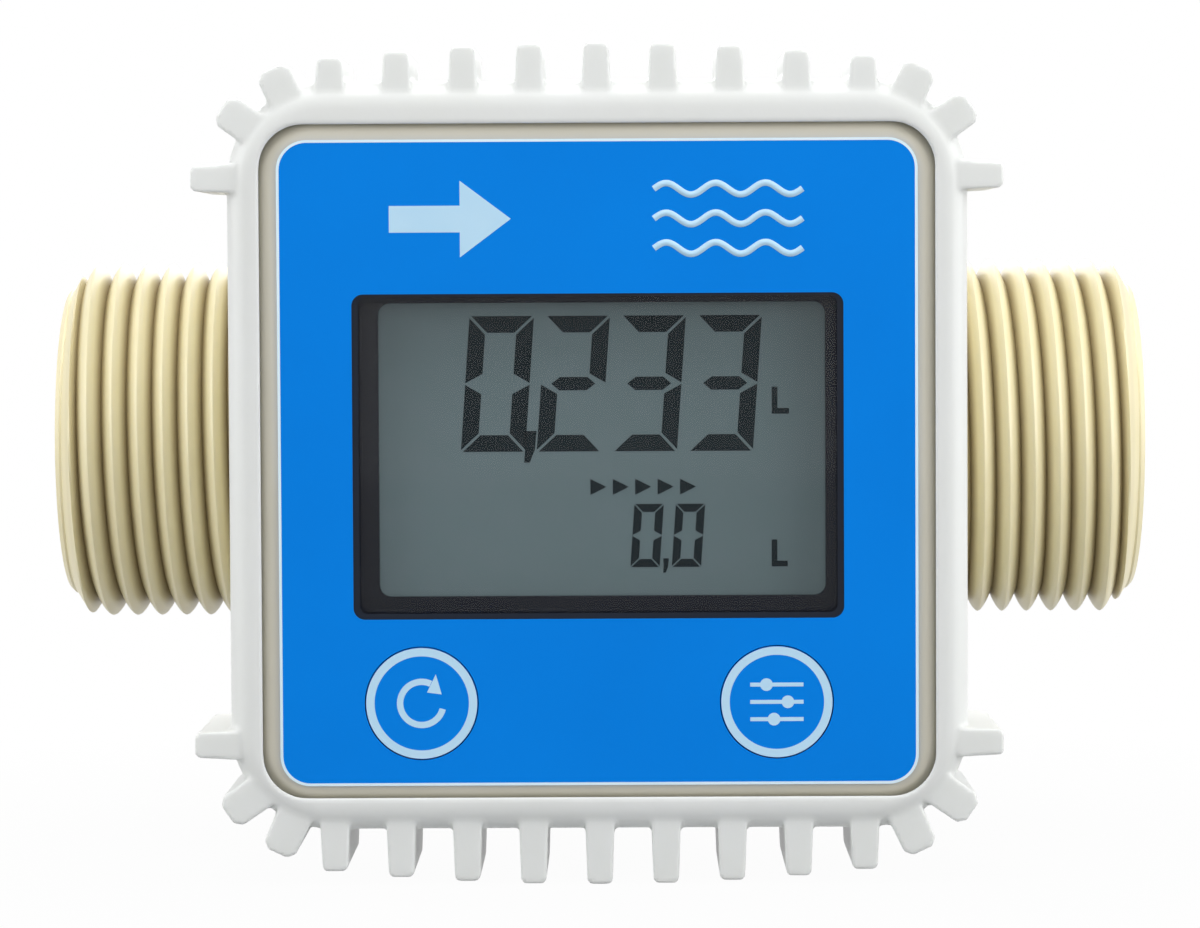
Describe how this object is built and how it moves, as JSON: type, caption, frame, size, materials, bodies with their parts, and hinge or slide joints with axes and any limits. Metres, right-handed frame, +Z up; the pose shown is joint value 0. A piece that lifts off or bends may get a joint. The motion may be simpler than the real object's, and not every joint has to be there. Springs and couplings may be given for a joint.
{
  "type": "turbine flow meter",
  "caption": "In-line turbine flow meter: a pipe body with male threaded ends and a spinning rotor, under a square digital display in a toothed rubber jacket with press keys.",
  "frame": {"origin": "centre of the inlet end face on the line's axis", "axes": "+X along the flow from inlet to outlet, -Y out of the display, +Z up"},
  "size_m": [0.1, 0.0557, 0.0727],
  "materials": {
    "glass_filled_nylon": "moulded, satin",
    "ivory_cover": "glossy",
    "printed_film": "fine satin",
    "clear_lens": "polished",
    "black_bezel": "satin",
    "display_glass": "polished",
    "reflector_foil": "brushed",
    "conductive_rubber": "matt",
    "board_laminate": "satin",
    "black_epoxy": "matt",
    "key_plastic": "fine satin",
    "switch_plastic": "satin",
    "switch_stem": "satin",
    "holder_plastic": "satin",
    "cell_jacket": "glossy wrap",
    "nickel_steel": "nickel plated",
    "stainless_steel": "satin",
    "acetal": "satin",
    "rotor_plastic": "satin",
    "bearing_ceramic": "ground",
    "elastomer": "satin",
    "seal_rubber": "matt"
  },
  "bodies": {
    "meter": {"meter_body": "glass_filled_nylon", "head_seal": "seal_rubber", "front_cover": "ivory_cover", "overlay_film": "printed_film", "window_lens": "clear_lens", "lcd_bezel": "black_bezel", "lcd_glass": "display_glass", "lcd_reflector": "reflector_foil", "upper_contact_strip": "conductive_rubber", "lower_contact_strip": "conductive_rubber", "circuit_board": "board_laminate", "controller_chip": "black_epoxy", "pickup_sensor": "black_epoxy", "reset_switch": "switch_plastic", "calibrate_switch": "switch_plastic", "cell_holder": "holder_plastic", "upper_cell": "cell_jacket", "lower_cell": "cell_jacket", "positive_contacts": "nickel_steel", "negative_contacts": "nickel_steel", "case_screws": "stainless_steel", "board_screws": "stainless_steel", "inlet_straightener": "acetal", "inlet_retaining_ring": "stainless_steel", "inlet_bush": "bearing_ceramic", "inlet_thrust_washer": "bearing_ceramic", "outlet_straightener": "acetal", "outlet_retaining_ring": "stainless_steel", "outlet_bush": "bearing_ceramic", "outlet_thrust_washer": "bearing_ceramic", "rubber_boot": "elastomer"},
    "rotor": {"turbine_rotor": "rotor_plastic", "rotor_magnets": "nickel_steel", "rotor_shaft": "stainless_steel"},
    "reset_button": {"reset_key": "key_plastic", "reset_switch_button": "switch_stem"},
    "calibrate_button": {"calibrate_key": "key_plastic", "calibrate_switch_button": "switch_stem"}
  },
  "joints": [
    {"name": "rotor_spin", "type": "hinge", "parent": "meter", "child": "rotor", "pos_m": [0.05, 0, 0], "axis": [1, 0, 0], "continuous": true},
    {"name": "reset_press", "type": "slide", "parent": "meter", "child": "reset_button", "axis": [0, 1, 0], "range_m": [0, 0.0004], "stiffness_N_per_m": 2500, "springref_m": -0.0002},
    {"name": "calibrate_press", "type": "slide", "parent": "meter", "child": "calibrate_button", "axis": [0, 1, 0], "range_m": [0, 0.0004], "stiffness_N_per_m": 2500, "springref_m": -0.0002}
  ]
}
